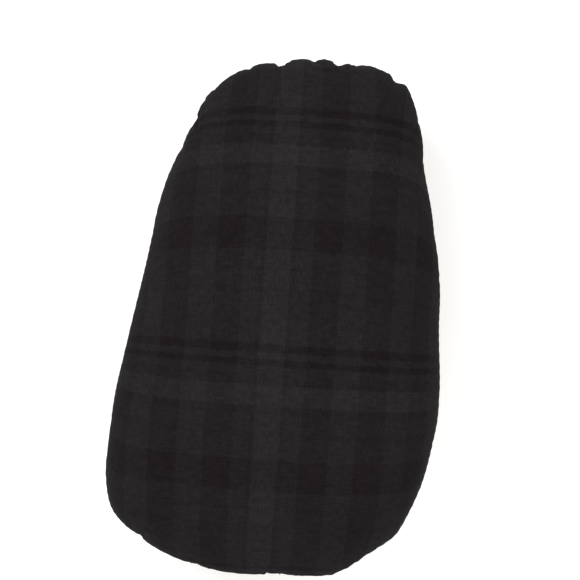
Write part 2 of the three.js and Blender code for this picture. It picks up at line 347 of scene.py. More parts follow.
OUTLINE_TABLE = outline_points(np.linspace(0, 1, OUTLINE_SAMPLES))
OUTLINE_CENTRE = (OUTLINE_TABLE.min(axis=0) + OUTLINE_TABLE.max(axis=0)) / 2
OUTLINE_TABLE -= OUTLINE_CENTRE
OUTLINE_RUN = path_run(OUTLINE_TABLE)
PERIMETER = OUTLINE_RUN[-1]
NARROW_EDGE_MIDDLE = PERIMETER / 2 + NARROW_EDGE_SHIFT
APEX = np.array([0, CROWN_SHIFT])


def unit(vectors):
    """The same vectors with a length of 1."""
    return vectors / np.linalg.norm(vectors, axis=-1, keepdims=True)


def outline_gap(distance, place):
    """Signed distance along the outline from a place on it."""
    return np.mod(distance - place + PERIMETER / 2, PERIMETER) - PERIMETER / 2


def hump(distance, place, half_width):
    """A soft hump of height 1 at a place on the outline."""
    return np.exp(-((outline_gap(distance, place) / half_width) ** 2))


def plain_outline(distance):
    """Points on the outline by their distance along it."""
    return along_path(np.mod(distance, PERIMETER), OUTLINE_RUN, OUTLINE_TABLE)


def outward_normals(curve, distance):
    """Outward normals of a curve that runs anticlockwise."""
    tangent = unit(curve(distance + TANGENT_STEP) - curve(distance - TANGENT_STEP))
    return np.stack([tangent[..., 1], -tangent[..., 0]], axis=-1)


def unevenness(distance):
    """How far the stuffing and the sewing move the outline out of its plain line."""
    out = np.zeros_like(distance)
    for place, half_length, height in UNEVEN_PLACES:
        out += height * MM * hump(distance, place * MM, half_length * MM)
    return out


def stuffed_outline(distance):
    """Points on the outline with its uneven places."""
    out = unevenness(distance)[:, None]
    return plain_outline(distance) + out * outward_normals(plain_outline, distance)


# Darts and gathers, by their distance along the outline

class Dart(NamedTuple):
    name: str
    place: float
    length: float


class DrawnLine(NamedTuple):
    """A line that sewing draws in, and the share of its depth that is left at the rim."""

    place: float
    half_width: float
    depth: float
    length: float
    rim_share: float


BROAD_DART_OFFSET = (MIDDLE_WIDTH + WIDTH_TAPER) / 2 - BROAD_DART_SETBACK
NARROW_DART_OFFSET = (MIDDLE_WIDTH - WIDTH_TAPER) / 2 - NARROW_DART_SETBACK
DARTS = [
    Dart("broad_right", BROAD_EDGE_MIDDLE + BROAD_DART_OFFSET, BROAD_DART_LENGTH),
    Dart("narrow_right", NARROW_EDGE_MIDDLE - NARROW_DART_OFFSET, NARROW_DART_LENGTH),
    Dart("narrow_left", NARROW_EDGE_MIDDLE + NARROW_DART_OFFSET, NARROW_DART_LENGTH),
    Dart("broad_left", BROAD_EDGE_MIDDLE - BROAD_DART_OFFSET, BROAD_DART_LENGTH),
]
DRAWN_LINES = [
    DrawnLine(dart.place, DART_HALF_WIDTH, DART_SINK, dart.length, CREASE_RIM_SHARE) for dart in DARTS
]
DRAWN_LINES += [DrawnLine(*[value * MM for value in gather], 1) for gather in GATHERS]


# The grid of meridians and rings

def refine(values, factor, axis, closed):
    """Smoothly puts factor steps where there was one, along one axis of a grid."""
    values = np.moveaxis(values, axis, 0)
    count = len(values)
    total = count * factor if closed else (count - 1) * factor + 1
    place = np.arange(total) / factor
    base = np.floor(place).astype(int)
    share = (place - base).reshape(-1, *[1] * (values.ndim - 1))
    mode = "wrap" if closed else "clip"
    around = [np.take(values, base + offset, 0, mode=mode) for offset in (-1, 0, 1, 2)]
    before, here, after, beyond = around
    curve = (
        2 * here
        + (after - before) * share
        + (2 * before - 5 * here + 4 * after - beyond) * share**2
        + (3 * here - before - 3 * after + beyond) * share**3
    ) / 2
    return np.moveaxis(curve, 0, axis)


def dome_angles():
    """Angles of the dome's rings, from the crown to the rim, about evenly spaced on the cloth."""
    angle = np.linspace(np.pi / 2, 0, DOME_SAMPLES)
    across = np.cos(angle) * (MIDDLE_WIDTH + LENGTH) / 4
    up = np.sin(angle) * (TOP_HEIGHT - SEAM_HEIGHT)
    run = np.concatenate([[0], np.cumsum(np.hypot(np.diff(across), np.diff(up)))])
    wanted = np.linspace(FIRST_RING_SHARE / SIM_DOME_RINGS, 1, SIM_DOME_RINGS) * run[-1]
    return np.interp(wanted, run, angle)


class Grid:
    """Meridians round the outline and rings from the crown to the seam, for all layers."""

    def __init__(self, station_fineness, ring_fineness):
        self.count = SIM_STATIONS * station_fineness
        self.distance = np.arange(self.count) * PERIMETER / self.count
        self.point = plain_outline(self.distance)
        self.plain_normal = outward_normals(plain_outline, self.distance)
        self.normal = outward_normals(stuffed_outline, self.distance)
        self.uneven = unevenness(self.distance)
        self.dome_angle = refine(dome_angles(), ring_fineness, 0, False)
        fold = np.linspace(0, np.pi / 2, SIM_FOLD_RINGS + 1)
        self.fold_angle = refine(fold, ring_fineness, 0, False)[1:]
        self.rim = len(self.dome_angle) - 1
        self.rings = len(self.dome_angle) + len(self.fold_angle)

    def ring_points(self, inset, scale, height):
        """One ring: the outline drawn in, then scaled about the crown, with less unevenness inwards."""
        plan = APEX + (self.point - inset * self.normal - APEX) * scale
        plan += (self.uneven * scale**UNEVEN_FADE)[:, None] * self.plain_normal
        return np.column_stack([plan, np.full(self.count, height)])

    def face(self, side, depth):
        """One face of the cloth stack, from the crown ring to the seam ring."""
        roll = ROLL[side]
        rim = SEAM_HEIGHT + side * (HALF_GAP + roll)
        crown = TOP_HEIGHT - depth if side == UPPER else depth
        flat = 0 if side == UPPER else REST_PATCH_LENGTH / LENGTH
        rings = []
        for angle in self.dome_angle:
            scale = flat + (1 - flat) * math.cos(angle) ** (2 / CROWN_FULLNESS)
            rise = math.sin(angle) ** (2 / CROWN_FULLNESS)
            rings.append(self.ring_points(depth, scale, rim + (crown - rim) * rise))
        for angle in self.fold_angle:
            inset = roll - (roll - depth) * math.cos(angle)
            height = rim - side * (roll - depth) * math.sin(angle)
            rings.append(self.ring_points(inset, 1, height))
        return np.array(rings)

    def edge(self, side, depth, inset):
        """The cut edge of a seam allowance, or the bottom of the groove that holds the allowances."""
        plan = self.point - inset * self.plain_normal
        height = SEAM_HEIGHT + side * (HALF_GAP + depth)
        return np.column_stack([plan, np.full(self.count, height)])

    def column_at(self, place):
        """The number of the meridian nearest to a place on the outline."""
        return int(np.argmin(np.abs(outline_gap(self.distance, place))))


def meridian_run(face):
    """How far each point of a face lies from the crown's middle, along its meridian."""
    first = np.linalg.norm(face[0, :, :2] - APEX, axis=1)
    steps = np.linalg.norm(np.diff(face, axis=0), axis=2)
    return np.concatenate([first[None], first + np.cumsum(steps, axis=0)])


def seam_distance(face):
    """How far each point of a face lies from the seam, along its meridian."""
    run = meridian_run(face)
    return run[-1] - run


def away_from_seam(face):
    """0 at the seam, and 1 where its pull is no longer felt."""
    return np.clip(seam_distance(face) / LUMP_FADE, 0, 1)


def face_normals(face, side):
    """Outward directions of a face, from the run of its rings and meridians."""
    along = np.roll(face, -1, axis=1) - np.roll(face, 1, axis=1)
    return unit(side * np.cross(np.gradient(face, axis=0), along))


def drawn_in(grid, side):
    """How darts and gathers draw a face in towards the ham's middle, as an offset for every point."""
    face = grid.face(side, 0)
    run = meridian_run(face)
    to_rim = np.abs(run - run[grid.rim])
    inward = unit(np.array([*APEX, SEAM_HEIGHT]) - face)
    depth = np.zeros(face.shape[:2])
    for line in DRAWN_LINES:
        taper = np.clip(1 - to_rim / line.length, 0, 1) ** LINE_TAPER
        taper *= np.clip(to_rim / CREASE_FADE, line.rim_share, 1)
        taper[grid.rim + 1:] = line.rim_share
        depth += line.depth * taper * hump(grid.distance, line.place, line.half_width)
    return inward * depth[..., None]


def smooth_noise(points, size, seed):
    """Soft random lumps of about the given size, between about -1 and 1."""
    draw = np.random.default_rng(seed)
    total = np.zeros(points.shape[:-1])
    for _ in range(NOISE_WAVES):
        direction = draw.normal(size=3)
        direction *= draw.uniform(*NOISE_WAVE_RANGE) * np.pi / size / np.linalg.norm(direction)
        total += np.sin(points @ direction + draw.uniform(0, 2 * np.pi))
    return total / math.sqrt(NOISE_WAVES)


def outline_noise(grid, size, seed):
    """Soft random values along the outline, one for each meridian."""
    return smooth_noise(np.column_stack([grid.point, np.zeros(grid.count)]), size, seed)


# Meshes

def add_object(name, data):
    """Puts a mesh, a lamp or a camera into the scene."""
    obj = bpy.data.objects.new(name, data)
    bpy.context.scene.collection.objects.link(obj)
    return obj


def quad_faces(rings, count):
    """Vertex numbers of the quads between rings that close on themselves."""
    ring, column = np.meshgrid(np.arange(rings - 1), np.arange(count), indexing="ij")
    following = (column + 1) % count
    here, beyond = ring * count, (ring + 1) * count
    corners = [here + column, beyond + column, beyond + following, here + following]
    return np.stack(corners, axis=-1).reshape(-1, 4)


def new_mesh(name, vertices, faces):
    mesh = bpy.data.meshes.new(name)
    mesh.from_pydata(vertices, [], faces)
    return mesh


def corner_vertices(mesh):
    """The number of the vertex at every corner of every face."""
    corners = np.zeros(len(mesh.loops), int)
    mesh.loops.foreach_get("vertex_index", corners)
    return corners


def write_uv(mesh, name, places):
    layer = mesh.uv_layers.new(name=name)
    layer.data.foreach_set("uv", np.ascontiguousarray(places, dtype=np.float32).ravel())


# The cloth simulation

def slack_weights(grid, face):
    """Where the cloth is a little too long for the seam: most round the ends, fading from the seam."""
    fade = np.clip(1 - seam_distance(face) / SLACK_REACH, 0, 1) ** SLACK_FADE
    along = grid.point[:, 1] / (LENGTH / 2)
    end = np.clip((np.abs(along) - SLACK_END_START) / SLACK_END_RAMP, 0, 1)
    end *= np.where(along < 0, BROAD_END_SLACK_SHARE, 1)
    uneven = SLACK_MEAN + SLACK_SPREAD * outline_noise(grid, SLACK_PATCH, SLACK_SEED)
    return np.clip(fade * end * uneven, 0, 1)


def held_points(grid, face):
    """The points that stay put: the crown, the sewn seam, and most of each dart and gather."""
    to_seam = seam_distance(face)
    held = np.zeros(to_seam.shape)
    held[:HELD_CROWN_RINGS] = 1
    held[-1] = 1
    for line in DRAWN_LINES:
        column = grid.column_at(line.place)
        held[to_seam[:, column] < HELD_LINE_SHARE * line.length, column] = 1
    return held


def even_out(face, side, moved):
    """Takes the mean swell round each place off, so that the stuffed ham keeps its size and outline."""
    normal = face_normals(face, side)
    swell = (moved * normal).sum(axis=2)
    waves = np.fft.fftfreq(swell.shape[1], PERIMETER / swell.shape[1])
    blur = np.exp(-2 * (np.pi * waves * EVEN_REACH) ** 2)
    mean = np.fft.ifft(np.fft.fft(swell, axis=1) * blur, axis=1).real
    return moved - normal * mean[..., None]


def add_cloth(obj, weights):
    """Makes an object into cloth under pressure, with the given vertex groups."""
    for name, values in weights.items():
        group = obj.vertex_groups.new(name=name)
        for vertex, weight in enumerate(values.ravel()):
            group.add([vertex], weight, "REPLACE")
    cloth = obj.modifiers.new("cloth", "CLOTH")
    for name, value in CLOTH_SETTINGS.items():
        setattr(cloth.settings, name, value)
    cloth.settings.effector_weights.gravity = 0
    cloth.point_cache.frame_start = 1
    cloth.point_cache.frame_end = SIM_FRAMES


def simulate_cover(grid, side, face):
    """Blows one cover up between its seam and darts. Returns how far each point moved."""
    slack = slack_weights(grid, face)
    ripple = START_RIPPLE * outline_noise(grid, RIPPLE_LENGTH, RIPPLE_SEED + side) * (slack > 0)
    start = (face + ripple[..., None] * face_normals(face, side)).reshape(-1, 3)
    quads = quad_faces(grid.rings, grid.count)
    faces = quads if side == UPPER else quads[:, ::-1]
    mesh = new_mesh("simulated_cover", start, faces.tolist())
    obj = add_object("simulated_cover", mesh)
    add_cloth(obj, {"held": held_points(grid, face), "taut": 1 - slack})
    for step in range(1, SIM_FRAMES + 1):
        bpy.context.scene.frame_set(step)
    evaluated = obj.evaluated_get(bpy.context.evaluated_depsgraph_get())
    moved = np.zeros(face.size)
    evaluated.data.vertices.foreach_get("co", moved)
    moved = moved.reshape(face.shape) - face
    bpy.context.scene.frame_set(1)
    bpy.data.objects.remove(obj)
    bpy.data.meshes.remove(mesh)
    reach = np.linalg.norm(moved, axis=2, keepdims=True)
    moved *= MOST_SWELL * np.tanh(reach / MOST_SWELL) / np.maximum(reach, TINY)
    return even_out(face, side, moved)


# How the layers leave their plain form

def stuffed_shift(grid, side, swell):
    """The shift of a cover: drawn in by darts, swollen and lumpy."""
    face = grid.face(side, 0)
    swollen = refine(refine(swell, STATION_FINENESS, 1, True), RING_FINENESS, 0, False)
    lumps = LUMP_HEIGHT * away_from_seam(face) * smooth_noise(face, LUMP_SIZE, LUMP_SEED + side)
    return drawn_in(grid, side) + swollen + lumps[..., None] * face_normals(face, side)


def nearby(values, pick):
    """The least or mean value, as pick says, within a few steps both ways along a grid."""
    steps = np.arange(-EASING_STEPS, EASING_STEPS + 1)
    for axis, mode in ((1, "wrap"), (0, "clip")):
        index = np.arange(values.shape[axis])[:, None] + steps
        values = pick(np.take(values, index, axis, mode=mode), axis=axis + 1)
    return values


def hidden_shift(grid, side, shift):
    """The shift of the layers behind a cover, on the coarse grid.

    They follow the cover's low places without its sharp creases, and turn into the seam as one.
    """
    face = grid.face(side, 0)
    normal = face_normals(face, side)
    height = (shift * normal).sum(axis=2)
    drop = (nearby(nearby(height, np.min), np.mean) - height) * away_from_seam(face)
    eased = shift + drop[..., None] * normal
    outward = normal[grid.rim]
    lowest = nearby((shift[grid.rim:] * outward).sum(axis=2), np.min).min(axis=0)
    rim_drop = np.minimum(lowest - (eased[grid.rim] * outward).sum(axis=1), 0)
    eased[grid.rim:] = eased[grid.rim] + rim_drop[:, None] * outward
    return eased[::RING_FINENESS, ::STATION_FINENESS]


def surface_detail(grid, side):
    """Creases along the darts and small puckers at the stitches, which only the outer face has."""
    face = grid.face(side, 0)
    to_seam = seam_distance(face)
    depth = np.zeros(face.shape[:2])
    for dart in DARTS:
        taper = np.sqrt(np.clip(1 - to_seam / dart.length, 0, 1))
        taper *= np.clip(to_seam / CREASE_FADE, CREASE_RIM_SHARE, 1)
        across = hump(grid.distance, dart.place, CREASE_HALF_WIDTH)
        depth += CREASE_SHARE * COVER_THICKNESS[side] * taper * across
    wander = PUCKER_PITCH * outline_noise(grid, PUCKER_WANDER_LENGTH, PUCKER_SEED)
    wave = np.cos(2 * np.pi * (grid.distance + wander) / PUCKER_PITCH)
    depth += PUCKER_DEPTH * np.exp(-to_seam / PUCKER_REACH) * wave
    return -depth[..., None] * face_normals(face, side)


# Layers, and the bodies between them

def settle(points, side, depth):
    """Keeps a layer on its own side of the seam and above the table."""
    lowest, highest = depth, SEAM_HEIGHT - HALF_GAP - depth
    if side == UPPER:
        lowest, highest = SEAM_HEIGHT + HALF_GAP + depth, TOP_HEIGHT + MOST_SWELL
    points[..., 2] = np.clip(points[..., 2], lowest, highest)
    return points


class Layer:
    """Rings of points from a crown to the cut edge of the seam, and where they lay on the flat cloth."""

    def __init__(self, grid, side, depth, shift, edge_inset=ALLOWANCE_EDGE):
        face = grid.face(side, depth)
        points = settle(face + shift, side, depth)
        flat = APEX + unit(grid.point - APEX) * meridian_run(face)[..., None]
        self.pole = points[0].mean(axis=0)
        if side == LOWER:
            shares = np.arange(1, REST_PATCH_RINGS)[:, None, None] / REST_PATCH_RINGS
            points = np.concatenate([self.pole + (points[0] - self.pole) * shares, points])
            flat = np.concatenate([APEX + (flat[0] - APEX) * shares, flat])
        self.rim = len(points) - len(grid.fold_angle) - 1
        self.points = np.concatenate([points, grid.edge(side, depth, edge_inset)[None]])
        self.flat = np.concatenate([flat, (flat[-1] + SEAM_ALLOWANCE * grid.normal)[None]])

    def thin_out(self, count):
        """Leaves fewer rings on the dome, closest together at the rim, where it curves most."""
        spread = self.rim * (1 - np.linspace(1, 0, count) ** INNER_CROWDING)
        dome = np.unique(spread.round().astype(int))
        keep = [*dome, *range(self.rim + 1, len(self.points))]
        self.points = self.points[keep]
        self.flat = self.flat[keep]
        self.rim = len(dome) - 1


def closed_body(name, first, second, shown):
    """A closed mesh of two layers that meet at their last rings, the first one the higher.

    Its UV maps are the places on the flat cloth, and those set out with most room for the shown layer.
    """
    points = np.concatenate([first.points, second.points[::-1]])
    flat = np.concatenate([first.flat, second.flat[::-1]])
    rings, count = points.shape[:2]
    total = rings * count
    vertices = np.concatenate([points.reshape(-1, 3), [first.pole, second.pole]])
    column = np.arange(count)
    following = (column + 1) % count
    last = total - count
    top_fan = np.column_stack([np.full(count, total), column, following])
    bottom_fan = np.column_stack([last + column, np.full(count, total + 1), last + following])
    quads = quad_faces(rings, count)
    mesh = new_mesh(name, vertices, top_fan.tolist() + quads.tolist() + bottom_fan.tolist())
    mesh.shade_smooth()

    places = np.concatenate([flat.reshape(-1, 2), [APEX, APEX]])[corner_vertices(mesh)]
    write_uv(mesh, "cloth_flat", places)
    strip = np.repeat(np.arange(-1, rings), [3 * count, *[4 * count] * (rings - 1), 3 * count])
    in_first = strip < len(first.points)
    span = np.ptp(places, axis=0).max()
    large = BAKE_MARGIN + (places - places.min(axis=0)) / span * (1 - 2 * BAKE_MARGIN)
    small = large * BAKE_SMALL + np.array([1 - BAKE_SMALL, 0])
    write_uv(mesh, "OFBake", np.where((in_first == (shown is first))[:, None], large, small))
    return add_object(name, mesh)


def sheet(name, side, outside, inside):
    """A cloth between its outer and its inner face."""
    first, second = (outside, inside) if side == UPPER else (inside, outside)
    return closed_body(name, first, second, outside)


# Threads

def seam_valley(grid, upper, lower):
    """The line along which a thread lies between the two folds, one point for each meridian.

    It is where the folds, followed inwards from the rim, have come close enough to hold the thread.
    """
    folds = [layer.points[layer.rim:-1] for layer in (upper, lower)]
    middle = sum(folds) / 2
    gap = folds[0][..., 2] - folds[1][..., 2]
    column = np.arange(grid.count)
    ring = np.maximum(np.argmax(gap <= VALLEY_WIDTH, axis=0), 1)
    wide, close = gap[ring - 1, column], gap[ring, column]
    share = np.clip((wide - VALLEY_WIDTH) / (wide - close), 0, 1)[:, None]
    line = middle[ring - 1, column] * (1 - share) + middle[ring, column] * share
    for _ in range(VALLEY_SMOOTHING):
        line = (np.roll(line, 1, axis=0) + 2 * line + np.roll(line, -1, axis=0)) / 4
    return line


def tube(path):
    """A round thread along a line, closed at its ends: its vertices, faces and UV places."""
    angle = np.arange(TUBE_SIDES) * 2 * np.pi / TUBE_SIDES
    tangent = unit(np.gradient(path, axis=0))
    across = np.zeros_like(path)
    sideways = np.cross(tangent[0], TUBE_START)
    for k, ahead in enumerate(tangent):
        sideways = sideways - ahead * (sideways @ ahead)
        sideways /= np.linalg.norm(sideways)
        across[k] = sideways
    other = np.cross(tangent, across)
    ring = across[:, None] * np.cos(angle)[:, None] + other[:, None] * np.sin(angle)[:, None]
    wall = (path[:, None] + THREAD_RADIUS * ring).reshape(-1, 3)
    around, along = np.meshgrid(angle / (2 * np.pi), path_run(path) / (2 * np.pi * THREAD_RADIUS))
    wall_places = np.stack([around, along], axis=-1).reshape(-1, 2)
    end_places = [[0.5, 0], [0.5, along[-1, 0]]]

    start_end, far_end = len(wall), len(wall) + 1
    far_ring = len(wall) - TUBE_SIDES
    faces = quad_faces(len(path), TUBE_SIDES)[:, ::-1].tolist()
    for k in range(TUBE_SIDES):
        following = (k + 1) % TUBE_SIDES
        faces.append([start_end, following, k])
        faces.append([far_end, far_ring + k, far_ring + following])
    return np.concatenate([wall, path[[0, -1]]]), faces, np.concatenate([wall_places, end_places])


def sweep(name, paths):
    """Round threads along several lines, in one mesh."""
    vertices, faces, places = [], [], []
    for points, sides, uv_places in map(tube, paths):
        start = sum(len(block) for block in vertices)
        vertices.append(points)
        faces += [[start + corner for corner in face] for face in sides]
        places.append(uv_places)
    mesh = new_mesh(name, np.concatenate(vertices), faces)
    mesh.shade_smooth()
    write_uv(mesh, "thread_run", np.concatenate(places)[corner_vertices(mesh)])
    return add_object(name, mesh)


def stitched_line(line, outward):
    """A thread that sways about a line, so that each stitch shows as a short slanting bar."""
    run = path_run(line)
    stitches = max(round(run[-1] / STITCH_PITCH), 2)
    wanted = np.linspace(0, run[-1], stitches * STEPS_PER_STITCH + 1)
    path = along_path(wanted, run, line)
    out = along_path(wanted, run, outward)
    beside = unit(np.cross(np.gradient(path, axis=0), out))
    phase = 2 * np.pi * np.arange(len(path)) / STEPS_PER_STITCH
    return path + STITCH_SWAY * (np.cos(phase)[:, None] * out + np.sin(phase)[:, None] * beside)


def perimeter_stitches(grid, valley):
    """The machine seam, all round but for the stuffing gap."""
    sewn = np.abs(outline_gap(grid.distance, BROAD_EDGE_MIDDLE)) > STUFFING_GAP / 2
    outward = np.column_stack([grid.normal, np.zeros(grid.count)])
    return sweep("perimeter_seam_stitches", [stitched_line(valley[sewn], outward[sewn])])


def fold_points(grid, layer, valley, column):
    """Where a stitch enters a fold, a bite up from the valley, and the way out of the cloth there."""
    fold = layer.points[:-1, column]
    away = np.linalg.norm(fold - valley[column], axis=1)
    nearest = int(np.argmin(away))
    index = nearest - int(np.argmax(away[nearest::-1] >= CLOSING_BITE))
    way_out = fold[index] - valley[column]
    return fold[index], np.array([*grid.normal[column], 0]) + way_out / np.linalg.norm(way_out)


def closing_stitches(grid, upper, lower, valley):
    """The ladder stitches: a short rung over the seam at each step, with both ends inside the folds."""
    rungs = round(STUFFING_GAP / CLOSING_STITCH_PITCH)
    paths = []
    for k in range(rungs):
        column = grid.column_at(BROAD_EDGE_MIDDLE + (k - (rungs - 1) / 2) * CLOSING_STITCH_PITCH)
        ends = [fold_points(grid, layer, valley, column) for layer in (upper, lower)]
        (top, top_out), (bottom, bottom_out) = ends
        middle = (top + bottom) / 2 + THREAD_RADIUS * (top_out + bottom_out) / 2
        points = [
            top - CLOSING_SINK * top_out,
            top + THREAD_RADIUS * top_out,
            middle,
            bottom + THREAD_RADIUS * bottom_out,
            bottom - CLOSING_SINK * bottom_out,
        ]
        paths.append(refine(np.array(points), STEPS_PER_STITCH // 2, 0, False))
    return sweep("closing_ladder_stitches", paths)


def dart_stitches(grid, side, layer, dart):
    """The seam of one dart, along the bottom of its crease."""
    column = grid.column_at(dart.place)
    face = layer.points[:-1]
    run = path_run(face[:, column])
    sewn = (run[-1] - run < dart.length) & (run < run[-1] - ROLL[side])
    normal = face_normals(face, side)[sewn, column]
    line = face[sewn, column] - DART_THREAD_SINK * normal
    return sweep(f"{COVER_NAME[side]}_dart_stitches_{dart.name}", [stitched_line(line, normal)])


# Finishes

class Finish:
    """A procedural material, with short calls for the nodes that the finishes share."""

    def __init__(self, name, uv_map=None, turn=0):
        self.material = bpy.data.materials.new(name)
        self.material.use_nodes = True
        self.tree = self.material.node_tree
        self.shader = self.tree.nodes["Principled BSDF"]
        if uv_map:
            self.place = self.node("ShaderNodeUVMap", uv_map=uv_map).outputs["UV"]
        else:
            self.place = self.node("ShaderNodeTexCoord").outputs["Object"]
        if turn:
            turned = self.node("ShaderNodeVectorRotate", rotation_type="Z_AXIS")
            turned.inputs["Angle"].default_value = -turn
            self.feed(turned.inputs["Vector"], self.place)
            self.place = turned.outputs[0]

    def node(self, kind, **settings):
        node = self.tree.nodes.new(kind)
        for name, value in settings.items():
            setattr(node, name, value)
        return node

    def feed(self, socket, value):
        if isinstance(value, bpy.types.NodeSocket):
            self.tree.links.new(value, socket)
        else:
            socket.default_value = value

    def math(self, operation, *values):
        node = self.node("ShaderNodeMath", operation=operation)
        for socket, value in zip(node.inputs, values):
            self.feed(socket, value)
        return node.outputs[0]

    def ridges(self, value):
        """Round ridges, one for each step of 1 in the value."""
        return self.math("ABSOLUTE", self.math("SINE", self.math("MULTIPLY", value, math.pi)))

    def split(self, vector):
        node = self.node("ShaderNodeSeparateXYZ")
        self.feed(node.inputs[0], vector)
        return node.outputs[0], node.outputs[1]

    def noise(self, size, stretch=(1, 1, 1), detail=2.0):
        """Noise with grains of about one size, drawn out along the axes by stretch."""
        scaled = self.node("ShaderNodeVectorMath", operation="MULTIPLY")
        self.feed(scaled.inputs[0], self.place)
        scaled.inputs[1].default_value = [1 / (size * part) for part in stretch]
        node = self.node("ShaderNodeTexNoise")
        self.feed(node.inputs["Vector"], scaled.outputs[0])
        node.inputs["Scale"].default_value = 1
        node.inputs["Detail"].default_value = detail
        return node.outputs["Fac"]

    def ramp(self, value, stops, interpolation="LINEAR"):
        node = self.node("ShaderNodeValToRGB")
        node.color_ramp.interpolation = interpolation
        elements = node.color_ramp.elements
        while len(elements) < len(stops):
            elements.new(1)
        for element, (position, colour) in zip(elements, stops):
            element.position = position
            element.color = (*colour, 1)
        self.feed(node.inputs[0], value)
        return node.outputs["Color"]

    def range(self, value, low, high, new_low, new_high):
        node = self.node("ShaderNodeMapRange")
        for socket, given in zip(node.inputs, (value, low, high, new_low, new_high)):
            self.feed(socket, given)
        return node.outputs[0]

    def mix(self, factor, first, second):
        node = self.node("ShaderNodeMix", data_type="RGBA")
        self.feed(node.inputs["Factor"], factor)
        self.feed(node.inputs["A"], first)
        self.feed(node.inputs["B"], second)
        return node.outputs["Result"]

    def dim(self, colour, strength):
        """A colour made lighter or darker by a changing strength about 1."""
        node = self.node("ShaderNodeVectorMath", operation="SCALE")
        self.feed(node.inputs[0], colour)
        self.feed(node.inputs["Scale"], strength)
        return node.outputs[0]

    def tone(self, colour, size, dark, light, stretch=(1, 1, 1), detail=2.0, spread=0.2):
        """A colour made darker and lighter by noise, most of which lies within spread of a half."""
        noise = self.noise(size, stretch, detail)
        return self.dim(colour, self.range(noise, 0.5 - spread, 0.5 + spread, dark, light))

    def specks(self, colour, speck, size, stretch, detail, limit, strength):
        """A colour with specks of another one, where noise is above a limit."""
        spots = self.math("GREATER_THAN", self.noise(size, stretch, detail), limit)
        return self.mix(self.math("MULTIPLY", spots, strength), colour, speck)

    def bump(self, height, depth):
        node = self.node("ShaderNodeBump")
        node.inputs["Strength"].default_value = 1
        node.inputs["Distance"].default_value = depth
        self.feed(node.inputs["Height"], height)
        self.feed(self.shader.inputs["Normal"], node.outputs[0])

    def surface(self, **values):
        for name, value in values.items():
            self.feed(self.shader.inputs[name.replace("_", " ")], value)


def woven(finish, pitch, weave):
    """A weave of warp and weft. Returns which one is on top, and the height of the yarns.

    Each yarn passes over and under as many others as the weave says, one further on in each row.
    """
    over, under = weave
    across, along = finish.split(finish.place)
    across = finish.math("DIVIDE", across, pitch)
    along = finish.math("DIVIDE", along, pitch)
    step = finish.math("SUBTRACT", finish.math("FLOOR", across), finish.math("FLOOR", along))
    warp_on_top = finish.math("LESS_THAN", finish.math("FLOORED_MODULO", step, over + under), over)
    height = finish.node("ShaderNodeMix")
    finish.feed(height.inputs["Factor"], warp_on_top)
    finish.feed(height.inputs["A"], finish.ridges(along))
    finish.feed(height.inputs["B"], finish.ridges(across))
    return warp_on_top, height.outputs["Result"]


def stripe_colour(finish, coordinate, stripes, origin):
    """The colour of the yarns that lie at a coordinate, from the stripes of one repeat."""
    period = sum(width for _, width in stripes)
    stops, start = [], 0
    for colour, width in stripes:
        stops.append((start / period, colour))
        start += width
    place = finish.math("DIVIDE", finish.math("SUBTRACT", coordinate, origin), period * MM)
    return finish.ramp(finish.math("FRACT", place), stops, "CONSTANT")


def wool_finish():
    """Brushed wool twill with a dark check: each yarn keeps its own stripe's colour."""
    finish = Finish("wool_check", "cloth_flat", CHECK_TURN)
    warp_on_top, yarn = woven(finish, WOOL_YARN_PITCH, TWILL)
    frayed = finish.range(finish.noise(FRAY_SIZE), 0, 1, -FRAY_REACH, FRAY_REACH)
    across, along = finish.split(finish.place)
    warp = stripe_colour(finish, finish.math("ADD", across, frayed), WARP_STRIPES, WARP_ORIGIN)
    weft = stripe_colour(finish, finish.math("ADD", along, frayed), WEFT_STRIPES, WEFT_ORIGIN)
    colour = finish.mix(BRUSHING, finish.mix(warp_on_top, weft, warp), finish.mix(0.5, weft, warp))
    for tone in WOOL_TONES.values():
        colour = finish.tone(colour, **tone)
    # Painted shade: darker in the valleys between the yarns, a little lighter on their tops
    colour = finish.dim(colour, finish.range(yarn, 0, 1, *WOOL_VALLEY_PAINTED_SHADE))
    colour = finish.specks(colour, LINT_COLOUR, **LINT)
    ribs = finish.math("MULTIPLY", yarn, WOOL_YARN_SHARE)
    height = finish.math("ADD", ribs, finish.noise(**FUZZ))
    finish.bump(height, WOOL_RELIEF)
    finish.surface(Base_Color=colour, Roughness=0.95, Specular_IOR_Level=0.04)
    finish.surface(Sheen_Weight=0.03, Sheen_Roughness=0.4, Sheen_Tint=WOOL_SHEEN_TINT)
    return finish.material


def cotton_finish():
    """Natural cotton drill, with slubs in its yarns and brown flecks of seed."""
    finish = Finish("natural_cotton", "cloth_flat")
    warp_on_top, yarn = woven(finish, COTTON_YARN_PITCH, DRILL)
    weft_slub = finish.noise(COTTON_SLUB, ALONG_WEFT)
    warp_slub = finish.noise(COTTON_SLUB, ALONG_WARP)
    slub = finish.mix(warp_on_top, weft_slub, warp_slub)
    colour = finish.tone(finish.ramp(slub, COTTON_TONES), **COTTON_SHADING)
    # Painted shade: darker in the valleys between the yarns, a little lighter on their tops
    colour = finish.dim(colour, finish.range(yarn, 0, 1, *COTTON_VALLEY_PAINTED_SHADE))
    colour = finish.specks(colour, FLECK_COLOUR, **FLECKS)
    height = finish.math("ADD", yarn, finish.math("MULTIPLY", slub, COTTON_SLUB_SHARE))
    finish.bump(height, COTTON_RELIEF)
    finish.surface(Base_Color=colour, Roughness=0.88, Specular_IOR_Level=0.25)
    finish.surface(Sheen_Weight=0.08, Sheen_Roughness=0.5)
    return finish.material


